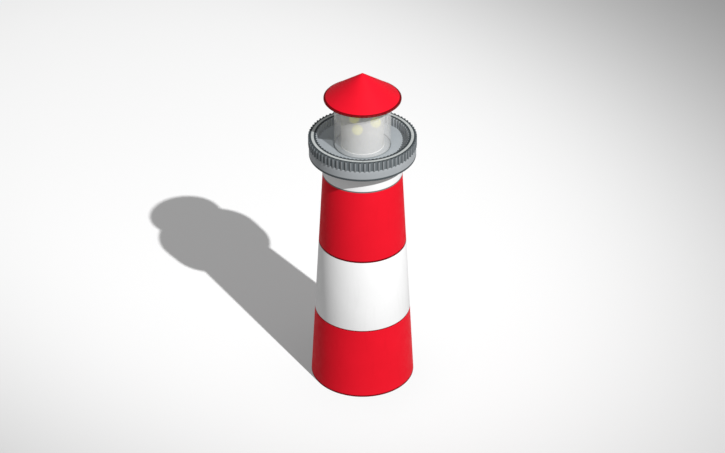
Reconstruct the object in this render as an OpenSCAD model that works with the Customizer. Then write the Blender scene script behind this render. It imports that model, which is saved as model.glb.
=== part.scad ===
// Round masonry lighthouse: a tapered tower in three painted bands, a gallery with a
// ribbed parapet, a lantern of milky glass round an inner drum and three lamps,
// and a conical metal roof.
// The origin is the middle of the tower's foot at ground level, +Z is up, sizes are in mm.

/* [Tower] */
// Radius of the tower at the ground
base_r = 3500; // [3000:50:4500]
// Radius of the tower at its head
top_r = 2625; // [2150:25:3100]
// Height of each painted band
band_h = 5250; // [4000:50:6500]
// Thickness of the wall at the tower's head, above a straight well
wall_top_t = 625; // [450:25:800]
// Thickness of the floor slab at ground level
ground_floor_t = 300; // [150:10:500]

/* [Gallery] */
// Height of the white collar between the red band and the gallery
collar_h = 1435; // [900:5:1800]
// Radius of the gallery's plain edge
gallery_r = 3500; // [3350:10:4300]
// Height of the cornice that carries the gallery
cornice_h = 465; // [300:5:700]
// Thickness of the gallery deck
deck_t = 250; // [150:10:400]

/* [Parapet] */
// Height of the parapet above the deck
parapet_h = 650; // [450:10:1200]
// Thickness of the parapet wall between its ribs
parapet_wall_t = 420; // [200:10:450]
// How far the outer ribs stand out past the gallery's edge
rib_overhang = 40; // [10:5:80]
// Depth of the ribs on the outer face
outer_rib_depth = 80; // [40:5:120]
// Depth of the ribs on the inner face
inner_rib_depth = 50; // [30:5:100]
// Width of an outer rib
outer_rib_w = 100; // [80:5:180]
// Width of an inner rib
inner_rib_w = 140; // [70:5:150]
// Number of ribs round each face of one parapet panel
panel_ribs = 9; // [6:1:10]

/* [Lantern] */
// Outer radius of the lantern glass
glass_r = 1845; // [1450:5:2250]
// Thickness of the lantern glass
glass_t = 16; // [10:1:30]
// Height from the deck to the lantern's ceiling
lantern_h = 3485; // [2600:5:4200]
// Clear space between the lantern glass and the inner drum
drum_gap = 434; // [250:2:600]
// Thickness of the inner drum
drum_t = 15; // [8:1:25]
// Height of the channels that hold the glass and the drum
channel_h = 60; // [30:5:120]
// Thickness of a channel's leg beside the glass
channel_leg_t = 18; // [10:1:30]

/* [Lamps] */
// Radius of a lamp globe
globe_r = 345; // [180:5:380]
// Wall thickness of a lamp globe
globe_t = 8; // [4:1:15]
// Clear space between a globe and the inner drum
globe_gap = 170; // [60:5:200]
// Height of the globes' middles above the deck
lamp_z = 1540; // [900:10:2000]
// Radius of the lamp stand's column
column_r = 60; // [40:5:90]
// Radius of the lamp stand's foot plate
stand_foot_r = 260; // [180:10:320]
// Width and height of an arm of the lamp stand
arm_w = 60; // [40:5:90]

/* [Roof] */
// How far the eave reaches past the lantern glass
eave_reach = 675; // [400:5:800]
// Height of the roof from the eave to its point
roof_h = 1820; // [1200:10:2400]
// Thickness of the roof's plate
roof_t = 12; // [8:1:25]
// Thickness of the lantern's ceiling plate
ceiling_t = 12; // [8:1:25]
// Height of the rim round the eave
eave_rim_h = 60; // [40:5:150]
// Thickness of the rim round the eave
eave_rim_t = 25; // [12:1:50]

/* [Hidden] */
$fn = 96;
wall_parts = 6;
wall_angle = 360 / wall_parts;
parapet_panels = 8;
panel_angle = 360 / parapet_panels;
lamps = 3;
lamp_angle = 360 / lamps;
// The first lamp stands a little behind +X, so the three show apart from the front
first_lamp_angle = 8;

// Tower: the well is straight and the outside tapers, so the wall is thickest at the ground
tower_h = 3 * band_h;
well_r = top_r - wall_top_t;

// Gallery
cornice_z = tower_h + collar_h;
deck_z = cornice_z + cornice_h + deck_t;
rib_tip_r = gallery_r + rib_overhang;
groove_r = rib_tip_r - outer_rib_depth;
parapet_in_r = groove_r - parapet_wall_t;
rib_pitch_angle = panel_angle / panel_ribs;

// Lantern: channels hold the glass and the drum at their feet and heads
drum_r = glass_r - glass_t - drum_gap;
ceiling_z = deck_z + lantern_h;
channel_bed_t = 12;
glass_z = deck_z + channel_bed_t;
glass_h = lantern_h - 2 * channel_bed_t;
channel_play = 2;

// Lamps: each globe is open at its foot, where it sits on a cup on the stand's arm
lamp_circle_r = drum_r - drum_t - globe_gap - globe_r;
neck_r = 0.4 * globe_r;
neck_drop = sqrt(globe_r * globe_r - neck_r * neck_r);
globe_z = deck_z + lamp_z;
cup_h = 110;
cup_top_z = globe_z - neck_drop;
arm_top_z = cup_top_z - cup_h;
cup_r = neck_r + 20;
stand_foot_t = 20;
// How far the column stands above the arms
column_cap_h = 20;

// Roof
eave_r = glass_r + eave_reach;
roof_z = ceiling_z + ceiling_t;
roof_foot_r = eave_r - eave_rim_t;
roof_rise = roof_h - ceiling_t;
roof_slope = atan2(roof_rise, roof_foot_r);
// Upright thickness of the sloping plate
roof_t_up = roof_t / cos(roof_slope);
// Level thickness of the sloping plate
roof_t_level = roof_t / sin(roof_slope);

// Outside radius of the tapered tower at height z
function tower_r(z) = base_r + (top_r - base_r) * z / tower_h;

// A ring with an upright inside and outside, in the round from radius r_in to r_out
module ring(r_in, r_out, h) {
    difference() {
        cylinder(r = r_out, h = h);
        translate([0, 0, -1]) cylinder(r = r_in, h = h + 2);
    }
}

// One segment of a band of the tower's wall, number i of those round it
module wall_segment(i, band) {
    z0 = band * band_h;
    z1 = z0 + band_h;
    rotate([0, 0, (i - 1) * wall_angle])
        rotate_extrude(angle = wall_angle)
            polygon([[well_r, z0], [tower_r(z0), z0], [tower_r(z1), z1], [well_r, z1]]);
}

module ground_floor() {
    color("lightslategray") cylinder(r = well_r, h = ground_floor_t);
}

module lower_wall(i) {
    color("crimson") wall_segment(i, 0);
}

module middle_wall(i) {
    color("white") wall_segment(i, 1);
}

module upper_wall(i) {
    color("crimson") wall_segment(i, 2);
}

module collar() {
    color("white") translate([0, 0, tower_h]) ring(well_r, top_r, collar_h);
}

module cornice() {
    color("darkgray") translate([0, 0, cornice_z]) ring(well_r, gallery_r, cornice_h);
}

module gallery_deck() {
    color("darkgray") translate([0, 0, deck_z - deck_t]) cylinder(r = gallery_r, h = deck_t);
}

// The point x, y of a rib's own frame, where x runs out along the rib, seen in the panel's plan
function rib_point(k, x, y) =
    let (a = (k + 0.5) * rib_pitch_angle)
    [x * cos(a) - y * sin(a), x * sin(a) + y * cos(a)];

// Plan of one side of rib number k: from its root at r0 out to its tip at r1 and back
function rib_outline(k, r0, r1, w) = [
    rib_point(k, r0, -w / 2),
    rib_point(k, r1, -w / 2),
    rib_point(k, r1, w / 2),
    rib_point(k, r0, w / 2)
];

// The point at radius r on a panel's joint, at the angle a
function joint_point(r, a) = [r * cos(a), r * sin(a)];

// Panel number i of the parapet. Its joints lie midway between two ribs,
// and the wall's face is flat from rib to rib.
module parapet_panel(i) {
    outside = [
        for (k = [0 : panel_ribs - 1]) each rib_outline(k, groove_r, rib_tip_r, outer_rib_w)
    ];
    inside = [
        for (k = [panel_ribs - 1 : -1 : 0])
            each rib_outline(k, parapet_in_r, parapet_in_r - inner_rib_depth, -inner_rib_w)
    ];
    color("gray")
        translate([0, 0, deck_z])
            rotate([0, 0, (i - 1) * panel_angle])
                linear_extrude(parapet_h)
                    polygon(concat(
                        [joint_point(groove_r, 0)],
                        outside,
                        [joint_point(groove_r, panel_angle), joint_point(parapet_in_r, panel_angle)],
                        inside,
                        [joint_point(parapet_in_r, 0)]
                    ));
}

// A U-shaped channel in the round that holds a drum of outer radius r and thickness t.
// It opens upwards, with its bed on z = 0.
module channel(r, t) {
    r_out = r + channel_play + channel_leg_t;
    r_in = r - t - channel_play - channel_leg_t;
    rotate_extrude()
        difference() {
            translate([r_in, 0]) square([r_out - r_in, channel_h]);
            translate([r - t - channel_play, channel_bed_t])
                square([t + 2 * channel_play, channel_h]);
        }
}

module glass_foot_channel() {
    color("gray") translate([0, 0, deck_z]) channel(glass_r, glass_t);
}

module glass_head_channel() {
    color("gray") translate([0, 0, ceiling_z]) mirror([0, 0, 1]) channel(glass_r, glass_t);
}

module lantern_glass() {
    color("gainsboro", 0.5)
        translate([0, 0, glass_z]) ring(glass_r - glass_t, glass_r, glass_h);
}

module drum_foot_channel() {
    color("whitesmoke") translate([0, 0, deck_z]) channel(drum_r, drum_t);
}

module inner_drum() {
    color("whitesmoke", 0.5)
        translate([0, 0, glass_z]) ring(drum_r - drum_t, drum_r, lantern_h - channel_bed_t);
}

// A column on a foot plate, with an arm and a cup out to each lamp
module lamp_stand() {
    color("whitesmoke") {
        translate([0, 0, deck_z]) cylinder(r = stand_foot_r, h = stand_foot_t);
        translate([0, 0, deck_z]) cylinder(r = column_r, h = arm_top_z + column_cap_h - deck_z);
        for (i = [0 : lamps - 1])
            rotate([0, 0, first_lamp_angle + i * lamp_angle]) {
                translate([0, -arm_w / 2, arm_top_z - arm_w]) cube([lamp_circle_r, arm_w, arm_w]);
                translate([lamp_circle_r, 0, arm_top_z - arm_w]) cylinder(r = cup_r, h = cup_h + arm_w);
            }
    }
}

// A hollow globe, open at its foot where it sits on the stand's cup
module lamp(i) {
    color("khaki")
        rotate([0, 0, first_lamp_angle + (i - 1) * lamp_angle])
            translate([lamp_circle_r, 0, globe_z])
                rotate_extrude()
                    intersection() {
                        difference() {
                            circle(r = globe_r);
                            circle(r = globe_r - globe_t);
                        }
                        translate([0, -neck_drop]) square([globe_r, globe_r + neck_drop]);
                    }
}

module lantern_ceiling() {
    color("gray") translate([0, 0, ceiling_z]) cylinder(r = roof_foot_r, h = ceiling_t);
}

// A hollow cone of plate that stands on the ceiling's edge, inside the rim
module roof_cone() {
    color("crimson")
        translate([0, 0, roof_z])
            rotate_extrude()
                polygon([
                    [roof_foot_r - roof_t_level, 0],
                    [roof_foot_r, 0],
                    [0, roof_rise],
                    [0, roof_rise - roof_t_up]
                ]);
}

module eave_rim() {
    color("crimson")
        translate([0, 0, roof_z - eave_rim_h]) ring(roof_foot_r, eave_r, eave_rim_h);
}

ground_floor();
for (i = [1 : wall_parts]) lower_wall(i);
for (i = [1 : wall_parts]) middle_wall(i);
for (i = [1 : wall_parts]) upper_wall(i);
collar();
cornice();
gallery_deck();
for (i = [1 : parapet_panels]) parapet_panel(i);
glass_foot_channel();
glass_head_channel();
lantern_glass();
drum_foot_channel();
inner_drum();
lamp_stand();
for (i = [1 : lamps]) lamp(i);
lantern_ceiling();
roof_cone();
eave_rim();
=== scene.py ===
# %% [markdown]
# # A banded lighthouse
#
# This script dresses a lighthouse whose shape is already fixed by a CAD model. The tower is a
# tapered masonry shell in three painted bands. On its head stand a grey gallery with a ribbed
# parapet, a lantern of milky glass and a red steel roof. Each step first says what the piece is
# on the real building and how it could be made, and then makes it.
#
# The CAD model comes in as a frame that stays where it is. Every length is in metres.

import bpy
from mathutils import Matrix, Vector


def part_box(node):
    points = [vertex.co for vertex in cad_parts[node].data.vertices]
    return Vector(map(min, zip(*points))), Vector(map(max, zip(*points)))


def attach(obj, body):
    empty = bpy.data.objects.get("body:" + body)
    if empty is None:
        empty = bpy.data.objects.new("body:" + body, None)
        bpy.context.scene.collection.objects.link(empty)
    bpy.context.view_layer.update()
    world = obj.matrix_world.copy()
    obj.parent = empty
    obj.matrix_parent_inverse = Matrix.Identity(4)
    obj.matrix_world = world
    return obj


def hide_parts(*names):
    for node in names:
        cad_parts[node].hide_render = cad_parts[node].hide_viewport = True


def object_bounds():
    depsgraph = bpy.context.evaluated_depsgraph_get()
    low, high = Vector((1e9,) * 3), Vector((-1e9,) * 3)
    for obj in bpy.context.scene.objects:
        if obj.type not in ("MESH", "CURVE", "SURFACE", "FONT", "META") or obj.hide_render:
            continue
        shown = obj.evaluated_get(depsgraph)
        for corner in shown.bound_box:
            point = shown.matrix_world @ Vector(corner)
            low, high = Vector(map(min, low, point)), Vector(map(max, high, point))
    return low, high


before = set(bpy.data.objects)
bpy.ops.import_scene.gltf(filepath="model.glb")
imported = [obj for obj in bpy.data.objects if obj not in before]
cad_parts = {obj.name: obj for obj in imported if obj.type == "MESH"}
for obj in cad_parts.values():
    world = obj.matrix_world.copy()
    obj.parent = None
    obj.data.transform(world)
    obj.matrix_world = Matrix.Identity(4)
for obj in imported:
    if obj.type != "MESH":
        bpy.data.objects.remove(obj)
cad_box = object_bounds()
print("CAD nodes:", len(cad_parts), "height:", round(cad_box[1].z, 3))

# %% [markdown]
# ## Measures
#
# A piece that replaces a CAD node has to be exactly as large as the node. Its sizes could be
# typed in again, but then a change of the CAD model would leave the piece behind. So they are
# read from the node's box: a round node gives its outer radius and its two levels. Only what no
# box tells, such as a wall's thickness or a rib's depth, is a named value here.

# %% Measuring helpers
import math

import bmesh
import bpy
from mathutils import Vector

ROOT = "root"
FULL_TURN = 2 * math.pi
MM = 0.001


def radius_of(node):
    """The outer radius of a round CAD node."""
    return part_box(node)[1].x


def levels_of(node):
    """The lowest and highest level of a CAD node."""
    low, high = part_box(node)
    return low.z, high.z


print("tower radius at the ground:", round(radius_of("lower_wall_1"), 3))

# %% [markdown]
# ## Colours and nodes
#
# Paint is chosen on a screen, so the colours are written as sRGB hex values. Shader nodes
# work in linear light, and one function turns the first into the second. A second small function
# adds a node, sets it up and links it, so that each material reads like its recipe.


# %% Colour and node helpers
def linear(hex_colour, alpha=1.0):
    """An sRGB hex colour as linear red, green, blue and alpha."""
    channels = [int(hex_colour[i:i + 2], 16) / 255 for i in (0, 2, 4)]
    low = [c / 12.92 for c in channels]
    high = [((c + 0.055) / 1.055) ** 2.4 for c in channels]
    return [lo if c <= 0.04045 else hi for c, lo, hi in zip(channels, low, high)] + [alpha]


def new_material(name, **sockets):
    """A material with a Principled shader whose sockets are set by name, with _ for a space."""
    material = bpy.data.materials.new(name)
    material.use_nodes = True
    shader = material.node_tree.nodes["Principled BSDF"]
    for socket, value in sockets.items():
        shader.inputs[socket.replace("_", " ")].default_value = value
    return material


def add_node(material, kind, settings=None, inputs=None):
    """Adds a node. Settings are its properties; inputs are values, or outputs to link from."""
    tree = material.node_tree
    node = tree.nodes.new("ShaderNode" + kind)
    for key, value in (settings or {}).items():
        setattr(node, key, value)
    for key, value in (inputs or {}).items():
        if isinstance(value, bpy.types.NodeSocket):
            tree.links.new(value, node.inputs[key])
        else:
            node.inputs[key].default_value = value
    return node


def plug(material, socket, output):
    """Links an output to a socket of the material's shader."""
    shader = material.node_tree.nodes["Principled BSDF"]
    material.node_tree.links.new(output, shader.inputs[socket])


def place_on_object(material, stretch=(1, 1, 1)):
    """Object coordinates in metres, squeezed by a factor along each axis."""
    coordinates = add_node(material, "TexCoord").outputs["Object"]
    inputs = {"Vector": coordinates, "Scale": stretch}
    return add_node(material, "Mapping", inputs=inputs).outputs["Vector"]


def noise(material, vector, size, detail=4.0):
    """Soft noise whose blotches are about size metres across."""
    inputs = {"Vector": vector, "Scale": 1 / size, "Detail": detail, "Roughness": 0.55}
    return add_node(material, "TexNoise", inputs=inputs).outputs["Fac"]


def remap(material, value, low, high, to_low=0.0, to_high=1.0):
    """Stretches low..high of a value to to_low..to_high, and clamps it there."""
    inputs = {"Value": value, "From Min": low, "From Max": high}
    inputs.update({"To Min": to_low, "To Max": to_high})
    return add_node(material, "MapRange", {"clamp": True}, inputs).outputs["Result"]


def calculate(material, operation, *terms):
    """The result of a Math node, whose terms are values or outputs."""
    node = add_node(material, "Math", {"operation": operation}, dict(enumerate(terms)))
    return node.outputs["Value"]


def blend_colours(material, factor, first, second):
    """Mixes two hex colours or colour outputs by a factor."""
    first, second = [linear(c) if isinstance(c, str) else c for c in (first, second)]
    node = add_node(material, "Mix", {"data_type": "RGBA"}, {0: factor, 6: first, 7: second})
    return node.outputs[2]


def add_bump(material, height, distance, under=None):
    """A bump of a height in metres, laid over another bump if one is given."""
    inputs = {"Height": height, "Distance": distance, "Strength": 1.0}
    if under is not None:
        inputs["Normal"] = under
    return add_node(material, "Bump", inputs=inputs).outputs["Normal"]


print("a mid grey in linear light:", [round(c, 3) for c in linear("808080")])

# %% [markdown]
# ## Turned shapes
#
# Nearly every piece of a lighthouse is round. Such a piece could be a cylinder that is cut and
# scaled, but a cleaner way is the one of the lathe: draw half of its section and spin it about
# the axis. The section's corners are first rounded by a small vertex bevel, because no real edge
# is knife sharp, and a rounded edge catches a thin line of light.

# %% Lathe helpers
TURN_STEPS = 192
SMOOTH_ANGLE = math.radians(30)
CORNER_EASE = 4 * MM


def finish_mesh(bm, name, materials):
    """Turns a bmesh into an object at the origin, shaded smooth up to sharp edges."""
    mesh = bpy.data.meshes.new(name)
    bm.to_mesh(mesh)
    bm.free()
    for polygon in mesh.polygons:
        polygon.use_smooth = True
    mesh.set_sharp_from_angle(angle=SMOOTH_ANGLE)
    for material in materials:
        mesh.materials.append(material)
    piece = bpy.data.objects.new(name, mesh)
    bpy.context.scene.collection.objects.link(piece)
    return piece


def draw_section(bm, points, ease, segments=3):
    """A face through points of (radius, height), with its corners eased. A point may carry its
    own ease as a third number."""
    eases = [point[2] if len(point) > 2 else ease for point in points]
    corners = [bm.verts.new((point[0], 0, point[1])) for point in points]
    bm.faces.new(corners)
    for width in sorted(set(eases) - {0}):
        chosen = [v for v, e in zip(corners, eases) if e == width and v.is_valid]
        bmesh.ops.bevel(
            bm, geom=chosen, offset=width, offset_type="OFFSET", segments=segments,
            profile=0.5, affect="VERTICES", clamp_overlap=True, material=-1,
        )


def spin_section(bm, steps=TURN_STEPS):
    """Spins the section in a bmesh once round the Z axis and closes it."""
    bmesh.ops.delete(bm, geom=bm.faces[:], context="FACES_ONLY")
    bmesh.ops.spin(
        bm, geom=bm.verts[:] + bm.edges[:], cent=(0, 0, 0), axis=(0, 0, 1),
        dvec=(0, 0, 0), angle=FULL_TURN, steps=steps, use_merge=True, use_duplicate=False,
    )
    bmesh.ops.remove_doubles(bm, verts=bm.verts[:], dist=1e-6)
    bmesh.ops.recalc_face_normals(bm, faces=bm.faces[:])


def turned(name, points, materials, ease=CORNER_EASE, pick=None):
    """A turned piece, from its section to its object. pick gives a face's material index from
    its radius and its height."""
    bm = bmesh.new()
    draw_section(bm, points, ease)
    spin_section(bm)
    for face in bm.faces:
        centre = face.calc_center_median()
        face.material_index = pick(math.hypot(centre.x, centre.y), centre.z) if pick else 0
    return finish_mesh(bm, name, materials)


def stand_for(piece, slot, *nodes):
    """The piece rides on the tower and stands for CAD nodes. The slot is not used."""
    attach(piece, ROOT)
    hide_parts(*nodes)
    low, high = piece.bound_box[0], piece.bound_box[6]
    size = [round(high[i] - low[i], 3) for i in range(3)]
    print(piece.name, "size", size, "faces", len(piece.data.polygons))
    return piece


print("a full turn has", TURN_STEPS, "steps")

# %% [markdown]
# ## Masonry paint
#
# The tower's stone is coated with a cement render, floated smooth by hand, and rolled with
# masonry paint. To the eye that is a flat, even colour with hardly any shine, which waves by a
# few millimetres over an arm's length and carries a fine sand grain. Rain draws faint upright
# streaks on it, and the sun fades it in wide patches. One noise could do all of this, but each
# effect has its own size, so each has its own noise. The grain of real render is about 2 mm,
# which is far too fine to show, so it is drawn at 30 mm.

# %% Masonry paint
FADED_PATCH = 2600 * MM
STREAK_WIDTH = 350 * MM
STREAK_SQUEEZE = (1, 1, 0.12)
WAVE_WIDTH, WAVE_HEIGHT = 700 * MM, 4 * MM
GRAIN_WIDTH, GRAIN_HEIGHT = 30 * MM, 0.6 * MM
SHINE_PATCH = 500 * MM


def masonry_paint(name, hex_colour, hex_faded, hex_streak):
    """Rolled paint on floated render, with faded patches, rain streaks, waves and grain."""
    material = new_material(name, Specular_IOR_Level=0.04)
    here = place_on_object(material)
    upright = place_on_object(material, STREAK_SQUEEZE)
    fading = remap(material, noise(material, here, FADED_PATCH, 3), 0.35, 0.7)
    streaks = remap(material, noise(material, upright, STREAK_WIDTH, 5), 0.55, 0.8, 0.0, 0.35)
    base = blend_colours(material, fading, hex_colour, hex_faded)
    plug(material, "Base Color", blend_colours(material, streaks, base, hex_streak))
    waves = add_bump(material, noise(material, here, WAVE_WIDTH, 2), WAVE_HEIGHT)
    grain = add_bump(material, noise(material, here, GRAIN_WIDTH, 2), GRAIN_HEIGHT, waves)
    plug(material, "Normal", grain)
    shine = remap(material, noise(material, here, SHINE_PATCH), 0.3, 0.7, 0.48, 0.62)
    plug(material, "Roughness", shine)
    return material


red_masonry = masonry_paint("red_masonry_paint", "de1628", "d91526", "cb1222")
dark_red_masonry = masonry_paint("dark_red_masonry_paint", "6c0409", "680408", "600407")
white_masonry = masonry_paint("white_masonry_paint", "ebebeb", "e8e8e8", "dededd")
grey_masonry = masonry_paint("grey_masonry_paint", "6f7373", "6b6f6f", "646868")
print("masonry paints:", red_masonry.name, white_masonry.name)

# %% [markdown]
# ## The tower's bands
#
# The tower is one tapered shell round a straight well, painted in three bands of equal height.
# The CAD model builds each band from six wall segments, as a round wall is laid. Here each band
# is turned in one piece, so that no joint shows in the paint, and it stands for its segments.
# The painter has cut in the borders of the red bands with a narrow line of dark red. An image
# could carry those lines, but a ring of faces with its own paint stays sharp at any distance.
#
# The lowest band gives no light back to the floor: a studio floor round a bright red piece would
# otherwise glow pink, and the floor is there to be plain.

# %% Tower bands
BANDS = {
    "lower": (red_masonry, "red_masonry_paint"),
    "middle": (white_masonry, "white_masonry_paint"),
    "upper": (red_masonry, "red_masonry_paint"),
}
FOOT_LINE = {"lower": 110 * MM, "middle": 0, "upper": 120 * MM}
HEAD_LINE = {"lower": 60 * MM, "middle": 0, "upper": 0}
WALL_PARTS = 6
well_radius = radius_of("ground_floor")
base_radius = radius_of("lower_wall_1")
head_radius = radius_of("collar")
tower_height = levels_of("upper_wall_1")[1]


def tower_radius(level):
    """The radius of the tapered tower at a level."""
    return base_radius + (head_radius - base_radius) * level / tower_height


for band, (paint, slot) in BANDS.items():
    foot, head = levels_of(f"{band}_wall_1")
    line_low, line_high = foot + FOOT_LINE[band], head - HEAD_LINE[band]
    section = [(well_radius, foot), (tower_radius(foot), foot)]
    section += [(tower_radius(z), z, 0) for z in (line_low, line_high) if foot < z < head]
    section += [(tower_radius(head), head), (well_radius, head)]

    def line_or_band(radius, height, low=line_low, high=line_high):
        """The dark red line at the border of a band, or the band's own paint."""
        return 0 if low < height < high else 1

    piece = turned(f"{band}_band", section, [paint, dark_red_masonry], pick=line_or_band)
    piece.visible_diffuse = band != "lower"
    stand_for(piece, slot, *[f"{band}_wall_{i + 1}" for i in range(WALL_PARTS)])

# %% [markdown]
# ## The collar
#
# Above the last red band the wall goes on upright, in white, up to the underside of the gallery.
# A grey line is painted where it starts.

# %% Collar
COLLAR_LINE = 100 * MM
collar_foot, collar_head = levels_of("collar")
collar_line = collar_foot + COLLAR_LINE
collar = turned(
    "white_collar",
    [(well_radius, collar_foot), (head_radius, collar_foot), (head_radius, collar_line, 0),
     (head_radius, collar_head), (well_radius, collar_head)],
    [white_masonry, grey_masonry],
    pick=lambda radius, height: int(height < collar_line),
)
stand_for(collar, "white_masonry_paint", "collar")

# %% [markdown]
# ## Gallery paint
#
# The gallery is cast concrete with a coat of grey stone paint. The coat is thin and matt, so the
# tone of the concrete clouds it, and the skin of the cast shows as shallow dimples about a hand
# wide. The same paint comes in several shades: a dark one in the grooves of the parapet, which
# is painted shade, a middle one on its ribs, a pale one on the inner ribs, which is painted light
# that lifts the shaded inside, and a bluish one underfoot.

# %% Gallery paint
CLOUD_PATCH = 900 * MM
DIMPLE_WIDTH, DIMPLE_DEPTH = 120 * MM, 1.5 * MM
DULL_PATCH = 300 * MM


def gallery_paint(name, hex_colour, hex_cloud):
    """Thin matt paint on cast concrete, with clouds and a dimpled skin."""
    material = new_material(name, Specular_IOR_Level=0.15)
    here = place_on_object(material)
    clouds = remap(material, noise(material, here, CLOUD_PATCH, 5), 0.35, 0.7)
    plug(material, "Base Color", blend_colours(material, clouds, hex_colour, hex_cloud))
    dimples = noise(material, here, DIMPLE_WIDTH, 3)
    plug(material, "Normal", add_bump(material, dimples, DIMPLE_DEPTH))
    shine = remap(material, noise(material, here, DULL_PATCH), 0.3, 0.7, 0.52, 0.68)
    plug(material, "Roughness", shine)
    return material


grey_gallery = gallery_paint("grey_stone_paint", "a0a4a7", "9b9fa2")
floor_gallery = gallery_paint("bluish_floor_paint", "a1a7ab", "9ca2a6")
# The pale shade is painted light on the inner ribs, lifting the shaded inside of the parapet.
inner_rib_light_paint = gallery_paint("pale_grey_painted_light", "b8bcbf", "b3b7ba")
middle_gallery = gallery_paint("middle_grey_stone_paint", "868a8d", "828688")
# The dark shade is painted shade for the grooves and rib flanks of the parapet.
groove_shade_paint = gallery_paint("dark_grey_painted_shade", "646a6d", "606669")
darkest_gallery = gallery_paint("slate_grey_stone_paint", "4c5255", "494f52")
print("gallery paints:", grey_gallery.name, groove_shade_paint.name)

# %% [markdown]
# ## Cornice and deck
#
# The cornice is a ring of concrete that reaches out past the collar, and the deck is the floor
# that lies on it. Their outer faces are flush and read as one plain band, so both are turned
# with only a slight ease at the corners that show. The lowest strip of the band is painted
# slate grey, because the rain that drips off it would stain a light one.

# %% Cornice and deck
EDGE_EASE = 12 * MM
DRIP_STRIP = 150 * MM
FACE_DEPTH = 100 * MM
gallery_radius = radius_of("gallery_deck")
cornice_foot, cornice_head = levels_of("cornice")
deck_foot, deck_level = levels_of("gallery_deck")
drip_line = cornice_foot + DRIP_STRIP


def on_drip_strip(radius, height):
    """Whether a face of the cornice is in the dark strip round its lower outer edge."""
    return height < drip_line and radius > gallery_radius - FACE_DEPTH


cornice = turned(
    "gallery_cornice",
    [(well_radius, cornice_foot), (gallery_radius, cornice_foot, EDGE_EASE),
     (gallery_radius, drip_line, 0), (gallery_radius, cornice_head, 0),
     (well_radius, cornice_head)],
    [grey_gallery, darkest_gallery],
    pick=lambda radius, height: int(on_drip_strip(radius, height)),
)
stand_for(cornice, "grey_painted_concrete", "cornice")

deck = turned(
    "gallery_floor",
    [(0, deck_foot, 0), (gallery_radius, deck_foot, 0),
     (gallery_radius, deck_level, EDGE_EASE), (0, deck_level, 0)],
    [floor_gallery, grey_gallery],
    pick=lambda radius, height: int(radius > gallery_radius - FACE_DEPTH),
)
stand_for(deck, "grey_painted_concrete", "gallery_deck")

# %% [markdown]
# ## The parapet's top
#
# The flat top of the parapet is painted pale in a stripe along its middle, which is partly a
# painted highlight on the lit top, and stays slate grey along both edges. The border follows a
# circle, so a material can draw it: it takes the distance from the tower's axis and compares it
# with the middle of the pale stripe.

# %% Parapet top
OUTER_RIB_DEPTH = 80 * MM
INNER_RIB_DEPTH = 50 * MM
WALL_THICKNESS = 420 * MM
OUTER_BORDER = 110 * MM
INNER_BORDER = 135 * MM
rib_tip_radius = cad_box[1].x
groove_radius = rib_tip_radius - OUTER_RIB_DEPTH
inner_face_radius = groove_radius - WALL_THICKNESS
middle_radius = (groove_radius + inner_face_radius) / 2


def highlight_stripe_top(name, hex_edge, hex_stripe, inner, outer):
    """The paint of the parapet's top: a light stripe between two radii, partly a painted
    highlight, and darker edges.
    """
    material = gallery_paint(name, hex_edge, hex_edge)
    flat = place_on_object(material, (1, 1, 0))
    radius = add_node(material, "VectorMath", {"operation": "LENGTH"}, {0: flat})
    middle, half_width = (inner + outer) / 2, (outer - inner) / 2
    stripe = calculate(material, "COMPARE", radius.outputs["Value"], middle, half_width)
    plug(material, "Base Color", blend_colours(material, stripe, hex_edge, hex_stripe))
    return material


stripe_inner = inner_face_radius + INNER_BORDER
stripe_outer = groove_radius - OUTER_BORDER
# The pale stripe on the parapet's top is partly a painted highlight.
top_gallery = highlight_stripe_top("parapet_top_painted_highlight", "3a4043", "b4b8b7", stripe_inner, stripe_outer)
print("worn stripe from", round(stripe_inner, 3), "to", round(stripe_outer, 3))

# %% [markdown]
# ## Parapet panels
#
# Eight curved panels of cast concrete stand on the deck's edge, ribbed outside and inside. Their
# shape is right in the CAD model, but its edges are sharp and its mesh is loose triangles. So
# each panel is copied, its triangles are merged and dissolved into whole faces, and the edges
# are bevelled as the mould would round them. Then each face is painted by what it is: the
# grooves and rib flanks dark, as painted shade, and the inner ribs pale, as painted light. The
# panels cast a shadow from the key light but don't hold back the soft light of the room, so the
# sunken walk behind them and the grooves between their ribs stay clear to read.

# %% Parapet panels
PANELS = 8
PANEL_EASE = 8 * MM
PANEL_PAINTS = [middle_gallery, groove_shade_paint, inner_rib_light_paint, grey_gallery, top_gallery]
RIB, GROOVE, INNER_RIB, INNER_WALL, TOP = range(len(PANEL_PAINTS))
FLAT_ANGLE = math.radians(1)
EDGE_ANGLE = math.radians(25)
LOOKS_UP = 0.7
LOOKS_OUT = 0.6


def eased_copy(node, ease):
    """A bmesh of a CAD node with whole faces and bevelled edges."""
    bm = bmesh.new()
    bm.from_mesh(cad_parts[node].data)
    bmesh.ops.remove_doubles(bm, verts=bm.verts[:], dist=1e-5)
    bmesh.ops.dissolve_limit(
        bm, angle_limit=FLAT_ANGLE, verts=bm.verts[:], edges=bm.edges[:],
        use_dissolve_boundaries=False, delimit=set(),
    )
    sharp = [e for e in bm.edges if e.is_manifold and e.calc_face_angle() > EDGE_ANGLE]
    bmesh.ops.bevel(
        bm, geom=sharp, offset=ease, offset_type="OFFSET", segments=2, profile=0.5,
        affect="EDGES", clamp_overlap=True, material=-1, loop_slide=True,
    )
    return bm


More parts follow.
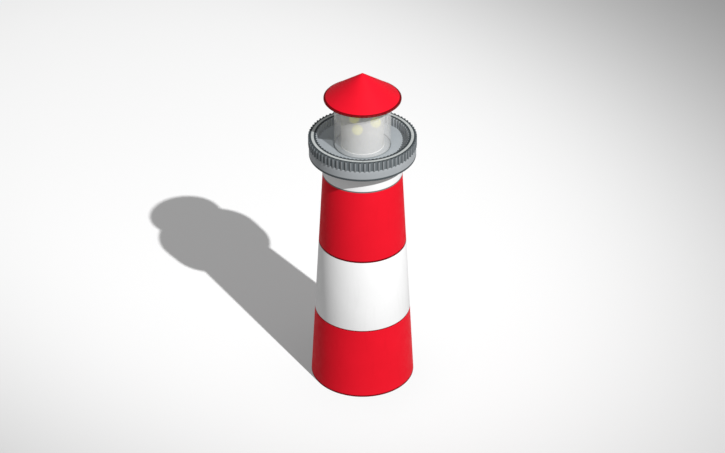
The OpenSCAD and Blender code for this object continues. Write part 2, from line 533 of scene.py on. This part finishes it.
def paint_of(face):
    """The index of a panel face's paint, from where it is and which way it looks."""
    centre = face.calc_center_median()
    radius = math.hypot(centre.x, centre.y)
    outward = Vector((centre.x, centre.y, 0)).normalized()
    on_circle = abs(outward.dot(face.normal)) > LOOKS_OUT
    if face.normal.z > LOOKS_UP:
        return TOP
    if radius > middle_radius:
        # Grooves and rib flanks take the dark paint: painted shade in the recesses.
        return RIB if on_circle and radius > groove_radius + OUTER_RIB_DEPTH / 2 else GROOVE
    # Inner ribs take the pale paint: painted light that lifts the shaded inside of the parapet.
    on_rib = on_circle and radius < inner_face_radius - INNER_RIB_DEPTH / 2
    return INNER_RIB if on_rib else INNER_WALL


for i in range(PANELS):
    node = f"parapet_panel_{i + 1}"
    bm = eased_copy(node, PANEL_EASE)
    for face in bm.faces:
        face.material_index = paint_of(face)
    panel = finish_mesh(bm, f"ribbed_panel_{i + 1}", PANEL_PAINTS)
    panel.visible_diffuse = False
    stand_for(panel, "grey_painted_concrete", node)

# %% [markdown]
# ## Milky glass
#
# The lantern's drum is milky cast glass with no bars. It scatters a good part of the light that
# falls on it and lets the rest straight through, so the inner drum and the lamps show as pale
# shapes. A true glass shader with a volume could do that, but it is slow and grainy. A shader of
# the surface's own white with an alpha does both, and stays cheap. Cast glass has a smooth skin
# that waves over a hand's width. The lamps are opal glass in yellow, and they glow a little.

# %% Glass materials
GLASS_IOR = 1.5
MILK_CLOUD = 800 * MM
CAST_WAVE_WIDTH, CAST_WAVE_HEIGHT = 400 * MM, 0.5 * MM
LAMP_GLOW = 0.42


def milky_glass(name, hex_colour, alpha, roughness):
    """Cast glass that scatters light with a share of alpha and passes the rest."""
    material = new_material(name, Roughness=roughness, IOR=GLASS_IOR, Alpha=alpha)
    here = place_on_object(material)
    clouds = remap(material, noise(material, here, MILK_CLOUD, 2), 0.35, 0.7, 0.0, 0.15)
    plug(material, "Base Color", blend_colours(material, clouds, hex_colour, "ffffff"))
    waves = noise(material, here, CAST_WAVE_WIDTH, 2)
    plug(material, "Normal", add_bump(material, waves, CAST_WAVE_HEIGHT))
    return material


lantern_pane = milky_glass("milky_cast_glass", "f6f6f6", 0.24, 0.15)
opal_pane = milky_glass("opal_glass", "fcfcfc", 0.31, 0.3)
lamp_glass = milky_glass("yellow_opal_glass", "dcd60c", 1.0, 0.25)
lamp_shader = lamp_glass.node_tree.nodes["Principled BSDF"]
lamp_shader.inputs["Emission Color"].default_value = linear("e8e40c")
lamp_shader.inputs["Emission Strength"].default_value = LAMP_GLOW
print("glass:", lantern_pane.name, opal_pane.name, lamp_glass.name)

# %% [markdown]
# ## Painted steel
#
# The roof and the glazing channels are rolled steel plate, primed and sprayed with gloss enamel
# that salt air has dulled. To the eye that is an even colour, smoother than masonry, whose plate
# is very slightly wavy between its seams.

# %% Steel paint
WORN_PATCH = 1400 * MM
PLATE_WAVE_WIDTH, PLATE_WAVE_HEIGHT = 250 * MM, 0.8 * MM


def painted_steel(name, hex_colour, hex_worn):
    """Dulled enamel on rolled plate, with cloudy wear and a slight wave."""
    material = new_material(name, Roughness=0.5, Specular_IOR_Level=0.06)
    here = place_on_object(material)
    wear = remap(material, noise(material, here, WORN_PATCH), 0.4, 0.7)
    plug(material, "Base Color", blend_colours(material, wear, hex_colour, hex_worn))
    waves = noise(material, here, PLATE_WAVE_WIDTH, 2)
    plug(material, "Normal", add_bump(material, waves, PLATE_WAVE_HEIGHT))
    return material


red_steel = painted_steel("red_enamelled_steel", "df1429", "da1327")
dark_red_steel = painted_steel("dark_red_enamelled_steel", "70040a", "680409")
grey_steel = painted_steel("grey_enamelled_steel", "8a8f91", "848a8c")
white_steel = painted_steel("white_enamelled_steel", "fafaf8", "f4f4f2")
print("steel paints:", red_steel.name, grey_steel.name)

# %% [markdown]
# ## Glazing channels
#
# The glass stands in a steel channel at its foot and another at its head, and the inner drum in
# one at its foot. Each is U-shaped in section, so one function draws the U from the pane that it
# holds and turns it like the rest.

# %% Channels
SMALL_EASE = 3 * MM
CHANNEL_BED = 12 * MM
GLASS_PLAY = 2 * MM
GLASS_THICKNESS = 16 * MM
DRUM_THICKNESS = 15 * MM
PANE_INNER = {
    "lantern_glass": radius_of("lantern_glass") - GLASS_THICKNESS,
    "inner_drum": radius_of("inner_drum") - DRUM_THICKNESS,
}


def channel(name, node, pane, paint, opens_down=False):
    """A turned U-shaped channel round the foot or head of a pane."""
    low, high = levels_of(node)
    outer = radius_of(node)
    slot_out = radius_of(pane) + GLASS_PLAY
    slot_in = PANE_INNER[pane] - GLASS_PLAY
    inner = slot_in - (outer - slot_out)
    bed = high - CHANNEL_BED if opens_down else low + CHANNEL_BED
    back, mouth = (high, low) if opens_down else (low, high)
    section = [
        (inner, back), (outer, back), (outer, mouth), (slot_out, mouth),
        (slot_out, bed), (slot_in, bed), (slot_in, mouth), (inner, mouth),
    ]
    return turned(name, section, [paint], ease=SMALL_EASE)


for node, pane, opens_down, paint, slot in (
    ("glass_foot_channel", "lantern_glass", False, grey_steel, "grey_painted_steel"),
    ("glass_head_channel", "lantern_glass", True, grey_steel, "grey_painted_steel"),
    ("drum_foot_channel", "inner_drum", False, white_steel, "white_painted_steel"),
):
    stand_for(channel(node + "_ring", node, pane, paint, opens_down), slot, node)

# %% [markdown]
# ## The two drums
#
# The outer drum keeps the weather out, and the inner one spreads the light of the lamps. Both
# are shells with the real thickness of the glass and ground edges.

# %% Drums
for name, node, glass, slot in (
    ("milky_glass_drum", "lantern_glass", lantern_pane, "milky_glass"),
    ("opal_drum", "inner_drum", opal_pane, "opal_glass"),
):
    low, high = levels_of(node)
    outer, inner = radius_of(node), PANE_INNER[node]
    section = [(inner, low), (outer, low), (outer, high), (inner, high)]
    stand_for(turned(name, section, [glass], ease=SMALL_EASE), slot, node)

# %% [markdown]
# ## Lamps
#
# Three globes of yellow opal glass sit on the cups of one stand. A globe could be a sphere with
# a hole cut in it, but blown glass has a wall, so its section is drawn as two arcs from the neck
# to the crown and spun. The stand is the CAD node's own shape with its edges eased.

# %% Lamps and their stand
LAMPS = 3
GLOBE_WALL = 8 * MM
NECK_SHARE = 0.4
ARC_STEPS = 20
GLOBE_TURN_STEPS = 48


def globe_section(radius, wall):
    """Half the section of a globe that is open at its neck, standing on its middle."""
    start = math.asin(NECK_SHARE)
    angles = [start + (math.pi - start) * k / ARC_STEPS for k in range(ARC_STEPS + 1)]
    outside = [(radius * math.sin(a), -radius * math.cos(a), 0) for a in angles]
    thin = radius - wall
    inside = [(thin * math.sin(a), -thin * math.cos(a), 0) for a in reversed(angles)]
    return outside + inside


for i in range(LAMPS):
    node = f"lamp_{i + 1}"
    low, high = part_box(node)
    radius = (high.x - low.x) / 2
    bm = bmesh.new()
    draw_section(bm, globe_section(radius, GLOBE_WALL), 0)
    spin_section(bm, GLOBE_TURN_STEPS)
    centre = Vector(((low.x + high.x) / 2, (low.y + high.y) / 2, high.z - radius))
    bmesh.ops.translate(bm, vec=centre, verts=bm.verts[:])
    stand_for(finish_mesh(bm, f"lamp_globe_{i + 1}", [lamp_glass]), "yellow_glass", node)

stand = finish_mesh(eased_copy("lamp_stand", SMALL_EASE), "lamp_stand_steel", [grey_steel])
stand_for(stand, "grey_painted_steel", "lamp_stand")

# %% [markdown]
# ## Roof
#
# The roof is a cone of steel plate on a flat ceiling, with an upright rim round the eave. Cone
# primitives shade badly, because each face blends one normal at the point with another at the
# foot. So the section has a few more points on its slope, and the blend stays near the tip. The
# eave is edged in dark red: the rim, and a strip of the plate beside it.

# %% Roof
PLATE = 12 * MM
RIM_EASE = 6 * MM
EDGE_STRIP = 100 * MM
SLOPE_RINGS = (EDGE_STRIP, 0.8, 1.4, 1.9, 2.3)
roof_foot, roof_point = levels_of("roof_cone")
roof_radius = radius_of("roof_cone")
slope = math.atan2(roof_point - roof_foot, roof_radius)
plate_up, plate_level = PLATE / math.cos(slope), PLATE / math.sin(slope)
slope_points = [
    (roof_radius - inset, roof_foot + inset * math.tan(slope), 0) for inset in SLOPE_RINGS
]
roof = turned(
    "roof_plate",
    [(roof_radius - plate_level, roof_foot, 0), (roof_radius, roof_foot, 0),
     *slope_points, (0, roof_point, 0), (0, roof_point - plate_up, 0)],
    [red_steel, dark_red_steel],
    pick=lambda radius, height: int(radius > roof_radius - EDGE_STRIP),
)
stand_for(roof, "red_painted_steel", "roof_cone")

rim_low, rim_high = levels_of("eave_rim")
rim_radius = radius_of("eave_rim")
rim = turned(
    "eave_rim_ring",
    [(roof_radius, rim_low), (rim_radius, rim_low), (rim_radius, rim_high),
     (roof_radius, rim_high)],
    [dark_red_steel],
    ease=RIM_EASE,
)
stand_for(rim, "red_painted_steel", "eave_rim")

ceiling_low, ceiling_high = levels_of("lantern_ceiling")
ceiling_radius = radius_of("lantern_ceiling")
ceiling = turned(
    "ceiling_plate",
    [(0, ceiling_low, 0), (ceiling_radius, ceiling_low), (ceiling_radius, ceiling_high),
     (0, ceiling_high, 0)],
    [grey_steel],
    ease=SMALL_EASE,
)
stand_for(ceiling, "grey_painted_steel", "lantern_ceiling")

# %% [markdown]
# ## Ground floor
#
# The slab inside the foot of the tower is bare concrete. Nobody sees it from outside, so the CAD
# node itself is kept and only takes a material: the gallery paint's recipe in a concrete tone.

# %% Ground floor
ground_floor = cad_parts["ground_floor"]
bare_concrete = gallery_paint("bare_concrete", "8f908c", "868783")
ground_floor.data.materials.clear()
ground_floor.data.materials.append(bare_concrete)
print("ground floor takes", bare_concrete.name)

# %% [markdown]
# ## Camera
#
# A tall thing seen from near looks as if it leans back. A long lens from far away keeps its sides
# nearly parallel. The camera looks down at 33 degrees on a point half way up the tower's axis.

# %% Camera
SENSOR_WIDTH = 36.0
LENS = 127.96
VIEW_ELEVATION = math.radians(33.0)
VIEW_DISTANCE = 48.92 * base_radius
LOOK_HEIGHT = 3.282 * base_radius
CLIP_START, CLIP_END = 1, 2000
back = Vector((0, -math.cos(VIEW_ELEVATION), math.sin(VIEW_ELEVATION)))
camera_data = bpy.data.cameras.new("camera")
camera_data.sensor_width = SENSOR_WIDTH
camera_data.lens = LENS
camera_data.clip_start = CLIP_START
camera_data.clip_end = CLIP_END
camera = bpy.data.objects.new("camera", camera_data)
camera.location = Vector((0, 0, LOOK_HEIGHT)) + back * VIEW_DISTANCE
camera.rotation_mode = "QUATERNION"
camera.rotation_quaternion = (-back).to_track_quat("-Z", "Y")
bpy.context.scene.collection.objects.link(camera)
bpy.context.scene.camera = camera
bpy.context.scene.view_settings.view_transform = "Standard"
print("camera at", [round(c, 1) for c in camera.location])

# %% [markdown]
# ## Light
#
# One far disk of light stands for a bright studio lamp, in front and to the right, and an even
# room fills the shadows. A sun lamp would do as well, and its angle would set how soft the edges
# of the shadows are. The disk sets it by its size and distance, as a real lamp does.

# %% Light
LIGHT_DISTANCE = 440
LIGHT_TURN = math.radians(34.6)
LIGHT_HEIGHT = math.radians(43.4)
LIGHT_SIZE = 5
LIGHT_IRRADIANCE = 3.7
ROOM_LIGHT = 0.36
towards = Vector((
    math.sin(LIGHT_TURN) * math.cos(LIGHT_HEIGHT),
    -math.cos(LIGHT_TURN) * math.cos(LIGHT_HEIGHT),
    math.sin(LIGHT_HEIGHT),
))
light_data = bpy.data.lights.new("key_light", "AREA")
light_data.shape = "DISK"
light_data.size = LIGHT_SIZE
light_data.energy = LIGHT_IRRADIANCE * math.pi * LIGHT_DISTANCE ** 2
key_light = bpy.data.objects.new("key_light", light_data)
key_light.location = Vector((0, 0, LOOK_HEIGHT)) + towards * LIGHT_DISTANCE
key_light.rotation_mode = "QUATERNION"
key_light.rotation_quaternion = (-towards).to_track_quat("-Z", "Y")
bpy.context.scene.collection.objects.link(key_light)

room = bpy.data.worlds.new("soft_room")
room.use_nodes = True
room_shader = room.node_tree.nodes["Background"]
room_shader.inputs["Color"].default_value = (ROOM_LIGHT, ROOM_LIGHT, ROOM_LIGHT, 1)
bpy.context.scene.world = room
print("key light at", [round(c) for c in key_light.location])

# %% [markdown]
# ## Floor
#
# The floor is a wide sheet of matt white with a painted pool of light: pale round the tower and
# painted darker far away. Lamps could make the pool, but they would also change the light on the
# tower. So the sheet's own tone fades, by the distance from the pool's middle in a stretched
# circle, and stops at a middle grey. The floor gives no light back to the tower, which keeps the
# shaded sides calm.

# %% Floor
FLOOR_RADIUS, FLOOR_SIDES = 600, 96
POOL_CENTRE = (-12.9, 28.5, 0)
POOL_TURN = (0, 0, math.radians(33.3))
POOL_REACH = (37.9, 56.8, 1)
POOL_FALL = 4.5
LEAST_PALENESS = 0.21
floor_paint = new_material("matt_floor_painted_pool", Roughness=0.9, Specular_IOR_Level=0.0)
here = add_node(floor_paint, "TexCoord").outputs["Object"]
pool = {"Vector": here, "Location": POOL_CENTRE, "Rotation": POOL_TURN, "Scale": POOL_REACH}
in_pool = add_node(floor_paint, "Mapping", {"vector_type": "TEXTURE"}, pool).outputs["Vector"]
reach = add_node(floor_paint, "VectorMath", {"operation": "LENGTH"}, {0: in_pool})
fall = calculate(floor_paint, "POWER", reach.outputs["Value"], POOL_FALL)
pool_light = calculate(floor_paint, "DIVIDE", 1, calculate(floor_paint, "ADD", fall, 1))
painted_pool_tone = calculate(floor_paint, "MAXIMUM", pool_light, LEAST_PALENESS)
# The fading tone is a painted pool of light, pale round the tower and darker far from it.
plug(floor_paint, "Base Color", blend_colours(floor_paint, painted_pool_tone, "6c6c6c", "f7f7f7"))

bm = bmesh.new()
bmesh.ops.create_circle(bm, cap_ends=True, segments=FLOOR_SIDES, radius=FLOOR_RADIUS)
floor = finish_mesh(bm, "floor", [floor_paint])
floor.visible_diffuse = False
print("floor radius:", FLOOR_RADIUS)
